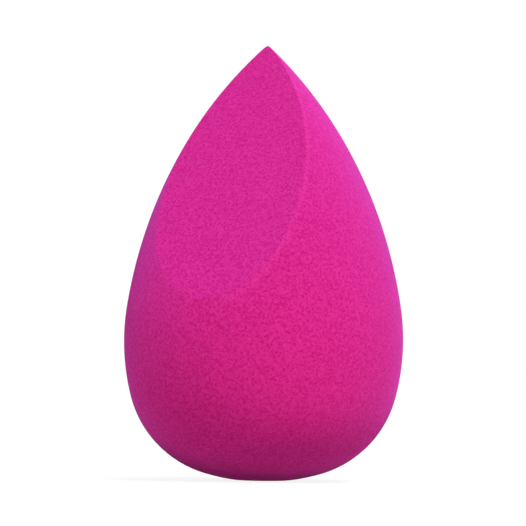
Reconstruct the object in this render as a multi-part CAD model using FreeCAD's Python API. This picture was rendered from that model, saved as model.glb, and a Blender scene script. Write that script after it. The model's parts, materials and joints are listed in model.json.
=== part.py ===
"""Makeup sponge: one piece of soft foam, a pointed drop with a slanted flat sliced from its tip.

The drop stands on its rounded base. +Z runs up its axis to the tip, the origin is the middle of
the patch that it rests on, and the flat faces -Y and upwards. Lengths are in millimetres.
"""

import FreeCAD, Part
import math
import os

from FreeCAD import Vector

# The drop, turned about Z
HEIGHT = 63.8  # table to the tip
BELLY_DIAMETER = 40.0  # widest girth
BELLY_HEIGHT = 20.2  # table to the widest girth

# The arcs of its outline, each tangent to the next, from the base up
BASE_RADIUS = 29.6
CORNER_RADIUS = 15.4
BELLY_RADIUS = 32.0
FLANK_RADIUS = 68.8
TIP_RADIUS = 0.5

# The soft base, pressed flat where it carries the sponge
REST_DEPTH = 0.2

# The slanted flat
FLAT_TILT = 26.5  # degrees between the flat and the axis
RIM_RADIUS = 0.25  # softens the edge all round the flat

UP = Vector(0, 0, 1)
OUT = Vector(0, -1, 0)  # the side that the flat faces, where the outline is drawn


def tangent_centre(first, first_gap, second, second_gap):
    """The point first_gap from one centre and second_gap from the other, left of the way between them."""
    way = second - first
    apart = way.Length
    along = (first_gap**2 - second_gap**2 + apart**2) / (2 * apart)
    aside = math.sqrt(first_gap**2 - along**2)
    left = UP * way.dot(OUT) - OUT * way.dot(UP)
    return first + way * (along / apart) + left * (aside / apart)


def touch_point(centre, radius, inner_centre):
    """Where a circle touches a smaller one that lies inside it."""
    return centre + (inner_centre - centre).normalize() * radius


def arc(centre, radius, start, end):
    """The short way round a circle from start to end."""
    middle = centre + (start + end - centre * 2).normalize() * radius
    return Part.Arc(start, middle, end)


def drop_outline():
    """Half of the drop's section: five tangent arcs from the base to the tip, closed along the axis."""
    bottom = UP * -REST_DEPTH
    top = UP * HEIGHT
    base = bottom + UP * BASE_RADIUS
    belly = OUT * (BELLY_DIAMETER / 2 - BELLY_RADIUS) + UP * BELLY_HEIGHT
    tip = top - UP * TIP_RADIUS
    corner = tangent_centre(base, BASE_RADIUS - CORNER_RADIUS, belly, BELLY_RADIUS - CORNER_RADIUS)
    flank = tangent_centre(belly, FLANK_RADIUS - BELLY_RADIUS, tip, FLANK_RADIUS - TIP_RADIUS)

    base_end = touch_point(base, BASE_RADIUS, corner)
    corner_end = touch_point(belly, BELLY_RADIUS, corner)
    belly_end = touch_point(flank, FLANK_RADIUS, belly)
    flank_end = touch_point(flank, FLANK_RADIUS, tip)
    curves = [
        arc(base, BASE_RADIUS, bottom, base_end),
        arc(corner, CORNER_RADIUS, base_end, corner_end),
        arc(belly, BELLY_RADIUS, corner_end, belly_end),
        arc(flank, FLANK_RADIUS, belly_end, flank_end),
        arc(tip, TIP_RADIUS, flank_end, top),
        Part.LineSegment(top, bottom),
    ]
    return Part.Wire([curve.toShape() for curve in curves])


def whole_drop():
    """The drop before it is sliced, as one half turned from the outline and its mirror image across X = 0."""
    half = Part.Face(drop_outline()).revolve(Vector(0, 0, 0), UP, 180)
    return half.fuse(half.mirror(Vector(0, 0, 0), Vector(1, 0, 0)))


def block_beyond(origin, outward):
    """A block larger than the drop, standing on the plane through origin on its outward side."""
    side = 2 * (HEIGHT + BELLY_DIAMETER)
    block = Part.makeBox(side, side, side, Vector(-side / 2, -side / 2, 0))
    block.Placement = FreeCAD.Placement(origin, FreeCAD.Rotation(UP, outward))
    return block


def rim_edges(solid, origin, outward):
    """The edges of the solid that lie in the plane through origin."""
    tolerance = 1e-4
    samples = 5

    def in_plane(edge):
        return all(abs((point - origin).dot(outward)) < tolerance for point in edge.discretize(samples))

    return [edge for edge in solid.Edges if not edge.Degenerated and in_plane(edge)]


def foam_body():
    """The drop, settled on its base, with the flat sliced off and the edge of the flat softened."""
    settled = whole_drop().cut(block_beyond(Vector(0, 0, 0), -UP))
    tilt = math.radians(FLAT_TILT)
    flat_normal = UP * math.sin(tilt) + OUT * math.cos(tilt)
    flat_on_axis = UP * (HEIGHT - TIP_RADIUS / 2)  # the slice runs out through the soft point
    sliced = settled.cut(block_beyond(flat_on_axis, flat_normal))
    return sliced.makeFillet(RIM_RADIUS, rim_edges(sliced, flat_on_axis, flat_normal))


def main():
    os.makedirs("parts", exist_ok=True)
    body = foam_body()
    box = body.BoundBox
    corners = (box.XMin, box.XMax, box.YMin, box.YMax, box.ZMin, box.ZMax)
    print("foam_body: solids", len(body.Solids), "valid", body.isValid(), "faces", len(body.Faces))
    print("volume mm3", round(body.Volume, 1), "box", [round(corner, 3) for corner in corners])
    print("centre of mass", [round(value, 3) for value in body.Solids[0].CenterOfMass])
    body.exportStep("parts/foam_body.step")


main()
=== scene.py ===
"""Makeup sponge: a magenta drop of soft foam with a slanted flat, standing on a pale table."""

import json
import math

import bpy
import numpy as np
from mathutils import Matrix, Vector


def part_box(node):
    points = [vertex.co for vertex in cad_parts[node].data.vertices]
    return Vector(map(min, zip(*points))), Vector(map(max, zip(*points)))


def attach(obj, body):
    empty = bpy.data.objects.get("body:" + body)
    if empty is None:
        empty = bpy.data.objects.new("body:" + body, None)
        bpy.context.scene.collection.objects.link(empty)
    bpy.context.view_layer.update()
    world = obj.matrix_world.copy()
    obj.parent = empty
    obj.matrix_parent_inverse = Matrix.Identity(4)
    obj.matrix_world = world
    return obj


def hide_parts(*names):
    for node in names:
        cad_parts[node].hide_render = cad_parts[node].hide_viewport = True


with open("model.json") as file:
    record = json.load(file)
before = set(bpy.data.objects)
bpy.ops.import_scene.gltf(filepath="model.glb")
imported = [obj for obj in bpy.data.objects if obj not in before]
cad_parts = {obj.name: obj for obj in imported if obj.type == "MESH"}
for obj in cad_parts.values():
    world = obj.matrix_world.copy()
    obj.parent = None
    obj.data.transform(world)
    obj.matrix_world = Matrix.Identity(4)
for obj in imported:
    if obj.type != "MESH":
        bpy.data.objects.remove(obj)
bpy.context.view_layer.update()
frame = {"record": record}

# The foam body: one piece of fine open-cell polyurethane foam, dyed through.
# It is ground to a drop and sliced once with a blade, which leaves the slanted flat and its soft rim.
# It stands loose on its rounded base, which its own weight presses a little flat.

MM = 0.001
foam_low, foam_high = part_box("foam_body")
belly_diameter = foam_high.x - foam_low.x
belly_height = 20.2 * MM
tip_height = 64.0 * MM  # before the slice takes the point
rest_depth = 0.2 * MM  # how far the round base is pressed in
base_radius = 29.6 * MM
corner_radius = 15.4 * MM
belly_radius = 32.0 * MM
flank_radius = 68.8 * MM
tip_radius = 0.2 * MM

flat_mount = next(mount for mount in frame["record"]["mounts"] if mount["name"] == "slanted_flat")
flat_middle = np.array(flat_mount["pos_m"])
flat_normal = np.array(flat_mount["axis"])
aside = np.array([1.0, 0.0, 0.0])
flat_up = np.cross(flat_normal, aside)


def tangent_centre(first, first_gap, second, second_gap):
    """The point at two given distances from two centres, on the left of the way between them."""
    way = second - first
    apart = math.hypot(*way)
    along = (first_gap**2 - second_gap**2 + apart**2) / (2 * apart)
    across = math.sqrt(first_gap**2 - along**2)
    return first + (along * way + across * np.array([-way[1], way[0]])) / apart


def drop_outline(samples):
    """Radius and height of points along the drop's outline, from the base to the tip.

    The outline is five arcs, each tangent to the next. So it is one function of the angle at which its
    normal rises: the centre of the arc that has this angle, plus the arc's radius along the normal.
    """
    base = np.array([0.0, base_radius - rest_depth])
    belly = np.array([belly_diameter / 2 - belly_radius, belly_height])
    tip = np.array([0.0, tip_height - tip_radius])
    corner = tangent_centre(base, base_radius - corner_radius, belly, belly_radius - corner_radius)
    flank = tangent_centre(belly, flank_radius - belly_radius, tip, flank_radius - tip_radius)
    turns = [math.atan2(y, x) for x, y in (corner - base, corner - belly, belly - flank, tip - flank)]
    ends = [-math.pi / 2, *turns, math.pi / 2]
    rise = np.concatenate([np.linspace(low, high, samples) for low, high in zip(ends, ends[1:])])
    centre = np.repeat([base, corner, belly, flank, tip], samples, axis=0)
    radius = np.repeat([base_radius, corner_radius, belly_radius, flank_radius, tip_radius], samples)
    return centre[:, 0] + radius * np.cos(rise), centre[:, 1] + radius * np.sin(rise)


outline_radius, outline_height = drop_outline(samples=600)


def reach(start, ways):
    """How far rays from a start inside the drop run before they leave it, found by halving.

    A point is inside while it is nearer to the axis than the outline is at the point's height.
    """
    halvings = 40
    outside = -1.0  # less than any distance to the axis, for heights that the drop doesn't have
    near = np.zeros(len(ways))
    far = np.full(len(ways), tip_height)
    for _ in range(halvings):
        middle = (near + far) / 2
        spots = start + middle[:, None] * ways
        limit = np.interp(spots[:, 2], outline_height, outline_radius, left=outside, right=outside)
        inside = np.hypot(spots[:, 0], spots[:, 1]) < limit
        near = np.where(inside, middle, near)
        far = np.where(inside, far, middle)
    return near


# The mesh is laid out by rays from a heart point inside the foam, about the one to the flat's middle
heart = np.array([0.0, 0.0, 26.0 * MM])
ahead = (flat_middle - heart) / np.linalg.norm(flat_middle - heart)
above = np.cross(ahead, aside)


def rim_rays(samples):
    """Turn, side angle and spread of the rays that meet the flat's rim.

    The turn is the share of the rim's length from its lowest point, so that equal turns are equal lengths.
    The side angle goes round the ray to the flat's middle, and the spread is the angle away from it.
    """
    clock = np.linspace(-math.pi / 2, 1.5 * math.pi, samples)
    ways = np.outer(np.cos(clock), aside) + np.outer(np.sin(clock), flat_up)
    rim = flat_middle + reach(flat_middle, ways)[:, None] * ways
    steps = np.linalg.norm(np.diff(rim, axis=0), axis=1)
    turn = np.concatenate([[0.0], np.cumsum(steps)]) / steps.sum()
    right, up, out = ((rim - heart) @ axis for axis in (aside, above, ahead))
    return turn, np.unwrap(np.arctan2(up, right)), np.arctan2(np.hypot(right, up), out)


rim_turn, rim_side, rim_spread = rim_rays(samples=4000)
far_spread = math.radians(140)  # where the strip round the drop ends and the far cap begins
rim_softness = 0.05 * MM
tip_softness = 0.03 * MM


def foam_surface(turn, ring, level):
    """Points of the foam from three parameters of which one always rests at its end.

    ring runs from 0 at the middle of the flat to 1 at its rim with level 0, level then runs from 0 at the
    rim to 1 at the far cap with ring 1, and ring goes back to 0 at the middle of that cap with level 1.
    A ray from the heart ends at a soft minimum of its ways to the drop, the flat and the table,
    -s log(exp(-a / s) + exp(-b / s) + exp(-c / s)), which rounds their edges over about four times s.
    """

    def packed(share):
        """Shares p that crowd together near 0, as p - c p (1 - p)^n, for the small round of the rim."""
        crowding = 0.85
        sharpness = 4
        return share - crowding * share * (1 - share) ** sharpness

    rim = np.interp(turn, rim_turn, rim_spread)
    on_flat = rim * (1 - packed(1 - ring))
    on_strip = rim + (far_spread - rim) * packed(level)
    on_far_cap = math.pi - (math.pi - far_spread) * ring
    spread = np.where(level == 0, on_flat, np.where(level < 1, on_strip, on_far_cap))
    even_side = (2 * turn - 0.5) * math.pi
    side = np.interp(turn, rim_turn, rim_side)
    side = side + (even_side - side) * level**2 * (3 - 2 * level)
    sideways = np.outer(np.cos(side), aside) + np.outer(np.sin(side), above)
    ways = np.cos(spread)[:, None] * ahead + np.sin(spread)[:, None] * sideways

    least = 1e-9  # keeps a ray that runs along a plane from a division by zero
    facing = ways @ flat_normal
    falling = -ways[:, 2]
    flat_ahead = (flat_middle - heart) @ flat_normal
    to_drop = reach(heart, ways)
    to_flat = np.where(facing > 0, flat_ahead / np.maximum(facing, least), np.inf)
    to_table = np.where(falling > 0, heart[2] / np.maximum(falling, least), np.inf)
    steep = [0.9, 1.0]  # rise of a ray over which the edge goes from the rim's softness to the tip's
    softness = np.interp(ways[:, 2], steep, [rim_softness, tip_softness])
    length = -softness * np.logaddexp.reduce(-np.array([to_drop, to_flat, to_table]) / softness)
    return heart + length[:, None] * ways


def closed_lattice(across, along):
    """Quads of a box's lattice, as three grids that share their edges, with a place on a bake map.

    The top square stands for the flat, the strip round the sides for the foam behind its rim and the
    bottom square for the far cap. Returns turn, ring and level of each point, the quads, and the map.
    """
    count = across + 1
    line = np.arange(count)
    # One walk round the edge of the square, from the corner with the largest x and the least y
    walk = np.arange(4 * across + 1)
    walk_x = np.clip(np.abs(2.5 * across - walk) - 0.5 * across, 0, across).astype(int)
    walk_y = np.clip(1.5 * across - np.abs(1.5 * across - walk), 0, across).astype(int)
    top = line[None, :] * count + line[:, None]
    strip = np.arange(along + 1)[:, None] * count**2 + (walk_y * count + walk_x)[None, :]
    bottom = top.T + along * count**2

    all_codes = np.concatenate([top.ravel(), strip.ravel(), bottom.ravel()])
    codes, points = np.unique(all_codes, return_inverse=True)
    level, place = np.divmod(codes, count**2)
    y, x = np.divmod(place, count)
    x = 2 * x / across - 1
    y = 2 * y / across - 1
    ring = np.maximum(np.abs(x), np.abs(y))
    wide = np.abs(x) >= np.abs(y)
    slope = np.where(wide, y, x) / np.where(ring == 0, 1, np.where(wide, x, y))
    eighth = math.pi / 4 * slope
    angle = np.where(wide, eighth + math.pi * (x < 0), math.pi / 2 - eighth + math.pi * (y < 0))
    turn = (angle / (2 * math.pi) + 0.25) % 1

    def cell_corners(grid):
        """The values at the four corners of each cell of a grid."""
        corners = (grid[:-1, :-1], grid[1:, :-1], grid[1:, 1:], grid[:-1, 1:])
        return np.stack(corners, axis=-1).reshape(-1, 4)

    # Each grid's shape, and the left, low, width and height of its window as shares of the map
    windows = (
        (top.shape, 0.0, 0.5, 0.5, 0.5),
        (strip.shape, 0.0, 0.0, 1.0, 0.5),
        (bottom.shape, 0.5, 0.5, 0.5, 0.5),
    )
    margin = 0.004  # bare border inside each window
    quads = []
    spots = []
    used = 0
    for (rows, columns), left, low, width, height in windows:
        ids = points[used:used + rows * columns].reshape(rows, columns)
        used += rows * columns
        down, right = np.meshgrid(np.linspace(0, 1, rows), np.linspace(0, 1, columns), indexing="ij")
        map_x = left + margin + (width - 2 * margin) * right
        map_y = low + margin + (height - 2 * margin) * down
        quads.append(cell_corners(ids))
        spots.append(np.stack([cell_corners(map_x), cell_corners(map_y)], axis=-1))
    return turn, ring, level / along, np.concatenate(quads), np.concatenate(spots)


turn, ring, level, quads, bake_spots = closed_lattice(across=120, along=148)
foam_points = foam_surface(turn, ring, level)

foam_mesh = bpy.data.meshes.new("foam_body_soft")
foam_mesh.vertices.add(len(foam_points))
foam_mesh.vertices.foreach_set("co", foam_points.ravel())
foam_mesh.loops.add(quads.size)
foam_mesh.loops.foreach_set("vertex_index", quads.ravel())
foam_mesh.polygons.add(len(quads))
foam_mesh.polygons.foreach_set("loop_start", np.arange(0, quads.size, quads.shape[1]))
foam_mesh.polygons.foreach_set("use_smooth", np.ones(len(quads), dtype=bool))
foam_mesh.uv_layers.new(name="OFBake").uv.foreach_set("vector", bake_spots.ravel())

# The material takes two measures from the mesh: how far a point is sliced, and how near it is to a painted
# highlight, a pale line just behind the edge of the flat where the rim catches the light, on the right
# half alone
depth = (flat_middle - foam_points) @ flat_normal
cut_depth = 0.12 * MM  # the blade's finish ends this far behind the flat
sliced = 1 - np.clip(depth / cut_depth, 0, 1)
edge_depth = 0.25 * MM
edge_width = 0.20 * MM
edge_side = 5.0 * MM  # the line fades in over this width, from the middle to the right
on_right = np.clip(foam_points @ aside / edge_side, 0, 1)
painted_rim_highlight = np.exp(-(((depth - edge_depth) / edge_width) ** 2)) * on_right
for name, values in (("sliced", sliced), ("painted_rim_highlight", painted_rim_highlight)):
    foam_mesh.attributes.new(name, "FLOAT", "POINT").data.foreach_set("value", values)
foam_mesh.update(calc_edges=True)
foam_mesh.validate()
foam_body = bpy.data.objects.new("foam_body_soft", foam_mesh)
bpy.context.scene.collection.objects.link(foam_body)


def linear(srgb_hex):
    """An sRGB hex colour as linear red, green, blue and alpha."""
    srgb = [int(srgb_hex[i:i + 2], 16) / 255 for i in (1, 3, 5)]
    return (*(c / 12.92 if c <= 0.04045 else ((c + 0.055) / 1.055) ** 2.4 for c in srgb), 1.0)


def add_node(tree, kind, inputs=(), **settings):
    """Adds a node, sets its properties, and gives each named input a value or a link from a socket."""
    node = tree.nodes.new(kind)
    for name, value in settings.items():
        setattr(node, name, value)
    for name, value in dict(inputs).items():
        if isinstance(value, bpy.types.NodeSocket):
            tree.links.new(value, node.inputs[name])
        else:
            node.inputs[name].default_value = value
    return node


# Open-cell polyurethane foam, dyed through, ground to shape and sliced: matt, with a fine grain of darker
# pores and paler walls, and a cool bloom where the walls are seen edge on. The flat is a touch duller and
# cooler, since the blade leaves its cells open. Dry foam has no gloss, so its roughness is in the matt
# shading: full in the pores and a little less on the walls. The real cells are about 0.15 mm across, and
# are drawn at nearly twice that, so that they show.
foam = bpy.data.materials.new("polyurethane_foam_ground_and_sliced")
foam.use_nodes = True
tree = foam.node_tree
tree.nodes.clear()
cell_size = 0.26 * MM
dye_patch = 4.0 * MM
wall_start = 0.1  # from a cell's middle, in cell sizes
wall_end = 0.7
wall_share = 0.3  # of the grain's tone; the rest is by chance, cell by cell
dye_share = 0.07
relief_strength = 0.15
relief_depth = 0.08 * MM
pore_roughness = 1.0
wall_roughness = 0.82

place = add_node(tree, "ShaderNodeTexCoord")
blade = add_node(tree, "ShaderNodeAttribute", attribute_name="sliced")
cells = add_node(
    tree,
    "ShaderNodeTexVoronoi",
    {"Vector": place.outputs["Object"], "Scale": 1 / cell_size, "Randomness": 1.0},
    voronoi_dimensions="3D",
    feature="F1",
)
chance = add_node(tree, "ShaderNodeSeparateColor", {"Color": cells.outputs["Color"]})
wall = add_node(
    tree,
    "ShaderNodeMapRange",
    {"Value": cells.outputs["Distance"], "From Min": wall_start, "From Max": wall_end},
    interpolation_type="SMOOTHSTEP",
)
tone = add_node(
    tree,
    "ShaderNodeMix",
    {"Factor": wall_share, "A": chance.outputs["Red"], "B": wall.outputs["Result"]},
    data_type="FLOAT",
)
dye = add_node(
    tree,
    "ShaderNodeTexNoise",
    {"Vector": place.outputs["Object"], "Scale": 1 / dye_patch, "Detail": 3.0, "Roughness": 0.6},
)
dyed_tone = add_node(
    tree,
    "ShaderNodeMix",
    {"Factor": dye_share, "A": tone.outputs["Result"], "B": dye.outputs["Fac"]},
    data_type="FLOAT",
)
# Painted shade: the colour is deeper and warmer towards the base, for the shade on the underside, and goes
# to a cooler tone between two heights
low_end = 6.0 * MM
high_end = 40.0 * MM
spot = add_node(tree, "ShaderNodeSeparateXYZ", {"Vector": place.outputs["Object"]})
height = add_node(
    tree, "ShaderNodeMapRange", {"Value": spot.outputs["Z"], "From Min": low_end, "From Max": high_end}
)
ground = add_node(
    tree,
    "ShaderNodeMix",
    {"Factor": height.outputs["Result"], "A": linear("#CA0069"), "B": linear("#C8117E")},
    data_type="RGBA",
)
pores = add_node(
    tree,
    "ShaderNodeMix",
    {"Factor": blade.outputs["Fac"], "A": ground.outputs["Result"], "B": linear("#C50C7A")},
    data_type="RGBA",
)
walls = add_node(
    tree,
    "ShaderNodeMix",
    {"Factor": dyed_tone.outputs["Result"], "A": pores.outputs["Result"], "B": linear("#702E67")},
    data_type="RGBA",
    blend_type="ADD",
)
# Painted highlight: a pale line added to the colour just behind the flat's rim, on its right half, where
# the rim catches the light
edge = add_node(tree, "ShaderNodeAttribute", attribute_name="painted_rim_highlight")
colour = add_node(
    tree,
    "ShaderNodeMix",
    {"Factor": edge.outputs["Fac"], "A": walls.outputs["Result"], "B": linear("#301730")},
    data_type="RGBA",
    blend_type="ADD",
)
relief = add_node(
    tree,
    "ShaderNodeBump",
    {"Strength": relief_strength, "Distance": relief_depth, "Height": tone.outputs["Result"]},
)
matt = add_node(
    tree,
    "ShaderNodeMapRange",
    {"Value": tone.outputs["Result"], "To Min": pore_roughness, "To Max": wall_roughness},
)
skin = add_node(
    tree,
    "ShaderNodeBsdfPrincipled",
    {
        "Base Color": colour.outputs["Result"],
        "Roughness": 1.0,
        "Normal": relief.outputs["Normal"],
        "Diffuse Roughness": matt.outputs["Result"],
        "Specular IOR Level": 0.0,
        "Sheen Weight": 0.25,
        "Sheen Roughness": 0.6,
        "Sheen Tint": linear("#0086FF"),
    },
)
add_node(tree, "ShaderNodeOutputMaterial", {"Surface": skin.outputs["BSDF"]})

foam_mesh.materials.append(foam)
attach(foam_body, "root")
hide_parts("foam_body")

# The table: a pale matt sheet, wide enough to run out of sight.
# What the lens sees of it is white with the sponge's soft shadow; to the foam it is a dull grey.

table_reach = 3.0
table_mesh = bpy.data.meshes.new("table")
table_x, table_y = np.meshgrid([-table_reach, table_reach], [-table_reach, table_reach])
table_points = np.stack([table_x, table_y, np.zeros((2, 2))], axis=-1).reshape(-1, 3)
table_mesh.from_pydata(table_points.tolist(), [], [(0, 1, 3, 2)])
table = bpy.data.objects.new("table", table_mesh)
bpy.context.scene.collection.objects.link(table)

sheet = bpy.data.materials.new("paper_sheet_matt")
sheet.use_nodes = True
tree = sheet.node_tree
tree.nodes.clear()


def seen_by_lens(tree):
    """1 for rays from the lens, straight or by a mirror or glass, and 0 for those that light things."""
    path = add_node(tree, "ShaderNodeLightPath")
    straight = path.outputs["Is Camera Ray"]
    mirrored = path.outputs["Is Glossy Ray"]
    through = path.outputs["Is Transmission Ray"]
    either = add_node(tree, "ShaderNodeMath", {0: straight, 1: mirrored}, operation="MAXIMUM")
    seen = add_node(tree, "ShaderNodeMath", {0: either.outputs[0], 1: through}, operation="MAXIMUM")
    return seen.outputs[0]


near_glow = 0.87  # with the lamps' light on the grey this is white, and less in the sponge's shadow
near_reach = 0.10
far_reach = 0.45
table_place = add_node(tree, "ShaderNodeTexCoord")
away = add_node(tree, "ShaderNodeVectorMath", {0: table_place.outputs["Object"]}, operation="LENGTH")
paper_glow = add_node(
    tree,
    "ShaderNodeMapRange",
    {"Value": away.outputs["Value"], "From Min": near_reach, "From Max": far_reach, "To Min": near_glow},
)
glow = add_node(tree, "ShaderNodeEmission", {"Strength": paper_glow.outputs["Result"]})
shade = add_node(tree, "ShaderNodeBsdfDiffuse", {"Color": linear("#6C6C6C")})
pictured = add_node(tree, "ShaderNodeAddShader", {0: glow.outputs[0], 1: shade.outputs[0]})
paper = add_node(tree, "ShaderNodeBsdfDiffuse", {"Color": linear("#B6B6B6")})
# Close to the base the sheet gives off a little light that the lens doesn't see, since the photograph's
# underside isn't dark
under_near = 6.0 * MM
under_far = 18.0 * MM
under_strong = 0.16
under_weak = 0.025
under_glow = add_node(
    tree,
    "ShaderNodeMapRange",
    {
        "Value": away.outputs["Value"],
        "From Min": under_near,
        "From Max": under_far,
        "To Min": under_strong,
        "To Max": under_weak,
    },
)
under_light = add_node(tree, "ShaderNodeEmission", {"Strength": under_glow.outputs["Result"]})
lit = add_node(tree, "ShaderNodeAddShader", {0: paper.outputs[0], 1: under_light.outputs[0]})
sheet_look = add_node(
    tree, "ShaderNodeMixShader", {0: seen_by_lens(tree), 1: lit.outputs[0], 2: pictured.outputs[0]}
)
add_node(tree, "ShaderNodeOutputMaterial", {"Surface": sheet_look.outputs[0]})
table_mesh.materials.append(sheet)

# The light: soft boxes round the sponge in a white room.
# The strongest in front is high on the right, so the left flank and the underside fall off into a deeper
# tone. Two more stand behind, for the right edge and for the back.

photo_turn = math.radians(23.5)  # the lens stands this far round from the flat, towards +X
to_lens = Vector((math.sin(photo_turn), -math.cos(photo_turn), 0.0))
to_right = Vector((math.cos(photo_turn), math.sin(photo_turn), 0.0))
up = Vector((0.0, 0.0, 1.0))
sponge_middle = Vector((0.0, 0.0, 30.0 * MM))


def soft_box(name, turn, rise, watts):
    """A square lamp that faces the sponge, from turn degrees right of the lens and rise degrees up."""
    distance = 0.6
    box_side = 0.25
    level = distance * math.cos(math.radians(rise))
    right = level * math.sin(math.radians(turn))
    front = level * math.cos(math.radians(turn))
    height = distance * math.sin(math.radians(rise))
    lamp = bpy.data.lights.new(name, "AREA")
    lamp.size = box_side
    lamp.energy = watts
    box = bpy.data.objects.new(name, lamp)
    box.location = sponge_middle + to_right * right + to_lens * front + up * height
    box.rotation_euler = (box.location - sponge_middle).to_track_quat("Z", "Y").to_euler()
    box.visible_camera = False
    bpy.context.scene.collection.objects.link(box)


soft_box("key", turn=30, rise=45, watts=2.95)
soft_box("low", turn=60, rise=5, watts=0.59)
soft_box("fill", turn=-30, rise=25, watts=1.2)
soft_box("back", turn=150, rise=45, watts=3.0)
soft_box("rear", turn=-125, rise=25, watts=0.55)

room = bpy.data.worlds.new("white_room")
bpy.context.scene.world = room
room.use_nodes = True
tree = room.node_tree
tree.nodes.clear()
room_light = 0.1
brightness = add_node(tree, "ShaderNodeMapRange", {"Value": seen_by_lens(tree), "To Min": room_light})
air = add_node(
    tree,
    "ShaderNodeBackground",
    {"Color": linear("#FFFFFF"), "Strength": brightness.outputs["Result"]},
)
add_node(tree, "ShaderNodeOutputWorld", {"Surface": air.outputs[0]})

# The camera: low and close, looking a little up, as the photograph was taken.
# Its place, tilt and focal length come from the outline and the flat's edge in the photograph.

lens_distance = 180.0 * MM
lens_height = 5.8 * MM
aim_height = 31.16 * MM
aim_right = -0.22 * MM
lean = math.radians(0.7)  # the drop's tip leans to the right in the picture
frame_pixels = 526
focal_pixels = 1250.2

camera = bpy.data.cameras.new("camera")
camera.lens = camera.sensor_width * focal_pixels / frame_pixels
camera.clip_start = 0.01
aim = to_right * aim_right + up * aim_height
stand = to_right * aim_right + to_lens * lens_distance + up * lens_height
sight = (aim - stand).normalized()
lens_up = to_right.cross(sight)
picture_right = to_right * math.cos(lean) + lens_up * math.sin(lean)
picture_up = lens_up * math.cos(lean) - to_right * math.sin(lean)
photographer = bpy.data.objects.new("camera", camera)
turned = Matrix((picture_right, picture_up, -sight)).transposed().to_4x4()
photographer.matrix_world = Matrix.Translation(stand) @ turned
bpy.context.scene.collection.objects.link(photographer)
bpy.context.scene.camera = photographer
bpy.context.scene.view_settings.view_transform = "Standard"
